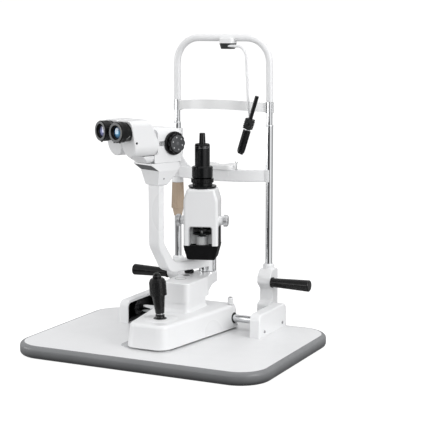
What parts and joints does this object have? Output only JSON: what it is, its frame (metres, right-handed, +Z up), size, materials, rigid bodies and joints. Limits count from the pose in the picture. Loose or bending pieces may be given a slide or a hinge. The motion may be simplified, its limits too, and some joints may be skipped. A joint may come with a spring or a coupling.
{
  "type": "slit lamp",
  "caption": "Tabletop slit lamp: binocular microscope and slit illuminator swinging about one axis on a joystick-driven rolling base, with chin rest and forehead band, on a table board.",
  "frame": {"origin": "centre of the table board's underside", "axes": "+Z up, +Y towards the patient, +X to the examiner's right"},
  "size_m": [0.6, 0.4775, 0.693],
  "materials": {
    "laminate": "light grey-white laminate over chipboard",
    "edge_band": "mid-grey matte bullnose edging",
    "slide_plate": "fine ground",
    "white_enamel": "smooth semi-gloss enamel",
    "white_plastic": "moulded, semi-gloss",
    "steel": "turned",
    "chrome": "polished",
    "black_grip": "satin black",
    "black_rubber": "matte",
    "black_anodised": "satin black anodised",
    "dark_plastic": "charcoal, fine texture",
    "grey_lining": "matte grey",
    "sleeve_tan": "matte tan",
    "bright_knob": "bright turned"
  },
  "bodies": {
    "stand": {"table_board": "laminate", "edge_band": "edge_band", "slide_plate": "slide_plate", "rails": "steel", "rail_covers": "white_enamel", "headrest_feet": "white_enamel", "stand_fasteners": "steel", "handles": "black_grip", "posts": "chrome", "head_arc": "white_enamel", "forehead_band": "white_plastic", "fixation_housing": "white_plastic"},
    "fixation_arm": {"fixation_arm": "white_enamel", "fixation_base": "dark_plastic"},
    "fixation_lamp": {"fixation_lamp_body": "black_anodised"},
    "chin_rest": {"chin_rest_frame": "white_enamel", "chin_cup": "white_plastic", "paper_pins": "chrome"},
    "height_sleeve": {"height_sleeve": "sleeve_tan"},
    "axle": {"axle_rod": "chrome"},
    "wheels": {"gear_wheels": "steel"},
    "base": {"base_shell": "white_enamel", "base_plate": "dark_plastic", "axle_bushes": "dark_plastic", "power_inlet": "black_grip", "lift_screw": "steel"},
    "lock_screw": {"lock_screw": "white_plastic"},
    "tower": {"tower_housing": "white_enamel", "pivot_spindle": "steel"},
    "arm_lock_knob": {"arm_lock_knob": "black_grip"},
    "joystick_ball": {"joystick_ball": "steel"},
    "joystick": {"joystick_stick": "black_grip"},
    "joystick_grip": {"joystick_sleeve": "black_grip"},
    "joystick_button": {"joystick_button": "dark_plastic"},
    "microscope": {"scope_hub": "chrome", "scope_arm": "white_enamel", "scope_head": "white_enamel", "scope_body": "white_enamel", "objective_ring": "black_anodised"},
    "drum": {"magnification_drum": "black_anodised", "drum_knobs": "black_grip"},
    "tube_right": {"prism_housing_right": "white_enamel", "eyepiece_right": "black_anodised"},
    "tube_left": {"prism_housing_left": "white_enamel", "eyepiece_left": "black_anodised"},
    "diopter_right": {"diopter_ring_right": "black_rubber"},
    "diopter_left": {"diopter_ring_left": "black_rubber"},
    "lamp": {"lamp_housing": "white_enamel", "lamp_rear_cover": "white_enamel", "window_frame": "grey_lining", "lamp_cap": "black_grip", "lamp_arm": "white_enamel", "light_source": "bright_knob", "slit_carrier": "black_anodised", "projection_tube": "black_anodised", "mirror_holder": "black_anodised"},
    "slit_width": {"slit_knobs": "bright_knob"},
    "aperture_disc": {"aperture_disc": "black_anodised"},
    "filter_disc": {"filter_disc": "black_anodised"},
    "slit_ring": {"slit_ring": "black_grip"}
  },
  "joints": [
    {"name": "fixation_swing", "type": "hinge", "parent": "stand", "child": "fixation_arm", "pos_m": [0.014, 0.245, 0.667], "axis": [0, 0, 1], "range_deg": [-100, 12]},
    {"name": "fixation_tilt", "type": "hinge", "parent": "fixation_arm", "child": "fixation_lamp", "pos_m": [0.091, 0.197, 0.492], "axis": [0, 1, 0], "range_deg": [-40, 40]},
    {"name": "chin_height", "type": "slide", "parent": "stand", "child": "chin_rest", "axis": [0, 0, 1], "range_m": [-0.03, 0.03]},
    {"name": "sleeve_turn", "type": "hinge", "parent": "chin_rest", "child": "height_sleeve", "pos_m": [-0.12, 0.246, 0.31], "axis": [0, 0, 1], "range_deg": [-545, 545]},
    {"name": "fore_aft", "type": "slide", "parent": "stand", "child": "axle", "axis": [0, 1, 0], "range_m": [-0.04, 0.05]},
    {"name": "wheel_roll", "type": "hinge", "parent": "axle", "child": "wheels", "pos_m": [0, 0.126, 0.053], "axis": [1, 0, 0], "range_deg": [-170, 170]},
    {"name": "sideways", "type": "slide", "parent": "axle", "child": "base", "axis": [1, 0, 0], "range_m": [-0.045, 0.045]},
    {"name": "lock_turn", "type": "hinge", "parent": "base", "child": "lock_screw", "pos_m": [0.077, 0.128, 0.09], "axis": [0, 0, 1], "range_deg": [-180, 180]},
    {"name": "tower_lift", "type": "slide", "parent": "base", "child": "tower", "axis": [0, 0, 1], "range_m": [-0.01, 0.02]},
    {"name": "joystick_fore_aft", "type": "hinge", "parent": "base", "child": "joystick_ball", "pos_m": [0, -0.067, 0.094], "axis": [1, 0, 0], "range_deg": [-13.5, 10.5]},
    {"name": "joystick_sideways", "type": "hinge", "parent": "joystick_ball", "child": "joystick", "pos_m": [0, -0.067, 0.094], "axis": [0, 1, 0], "range_deg": [-8, 16]},
    {"name": "grip_turn", "type": "hinge", "parent": "joystick", "child": "joystick_grip", "pos_m": [0, -0.067, 0.094], "axis": [-0.0698, -0.0261, 0.9972], "range_deg": [-260, 500]},
    {"name": "button_press", "type": "slide", "parent": "joystick", "child": "joystick_button", "axis": [-0.0698, -0.0261, 0.9972], "range_m": [-0.0015, 0], "stiffness_N_per_m": 600, "springref_m": 0.001},
    {"name": "microscope_swing", "type": "hinge", "parent": "tower", "child": "microscope", "pos_m": [0, 0.165, 0.17], "axis": [0, 0, 1], "range_deg": [-40, 60]},
    {"name": "lamp_swing", "type": "hinge", "parent": "tower", "child": "lamp", "pos_m": [0, 0.165, 0.2], "axis": [0, 0, 1], "range_deg": [-50, 41]},
    {"name": "arm_lock_turn", "type": "hinge", "parent": "tower", "child": "arm_lock_knob", "pos_m": [-0.024, 0.118, 0.155], "axis": [0, 0, 1], "range_deg": [-180, 180]},
    {"name": "drum_turn", "type": "hinge", "parent": "microscope", "child": "drum", "pos_m": [-0.04884, 0.04994, 0.457], "axis": [0.9205, -0.3907, 0], "continuous": true},
    {"name": "pupil_right", "type": "hinge", "parent": "microscope", "child": "tube_right", "pos_m": [-0.0481, -0.0123, 0.458], "axis": [0.3907, 0.9205, 0], "range_deg": [0, 15]},
    {"name": "pupil_left", "type": "hinge", "parent": "microscope", "child": "tube_left", "pos_m": [-0.09413, 0.00724, 0.458], "axis": [0.3907, 0.9205, 0], "range_deg": [-15, 0]},
    {"name": "diopter_right", "type": "hinge", "parent": "tube_right", "child": "diopter_right", "pos_m": [-0.08109, -0.09607, 0.489], "axis": [-0.3173, -0.9483, 0], "range_deg": [-150, 150]},
    {"name": "diopter_left", "type": "hinge", "parent": "tube_left", "child": "diopter_left", "pos_m": [-0.13146, -0.07469, 0.489], "axis": [-0.4617, -0.887, 0], "range_deg": [-150, 150]},
    {"name": "slit_width", "type": "hinge", "parent": "lamp", "child": "slit_width", "pos_m": [0.02534, 0.08701, 0.2805], "axis": [0.9511, 0.309, 0], "range_deg": [-135, 135]},
    {"name": "slit_rotation", "type": "hinge", "parent": "lamp", "child": "slit_ring", "pos_m": [0.02348, 0.09272, 0.37], "axis": [0, 0, 1], "range_deg": [-90, 90]},
    {"name": "aperture_turn", "type": "hinge", "parent": "lamp", "child": "aperture_disc", "pos_m": [0.02658, 0.08321, 0.262], "axis": [0, 0, 1], "continuous": true},
    {"name": "filter_turn", "type": "hinge", "parent": "lamp", "child": "filter_disc", "pos_m": [0.02658, 0.08321, 0.251], "axis": [0, 0, 1], "continuous": true}
  ],
  "couplings": [
    {"joint": "sleeve_turn", "follows": "chin_height", "rad_per_m": 314.16},
    {"joint": "wheel_roll", "follows": "fore_aft", "rad_per_m": -55.556},
    {"joint": "grip_turn", "follows": "tower_lift", "rad_per_m": 418.88},
    {"joint": "pupil_left", "follows": "pupil_right", "ratio": -1}
  ]
}
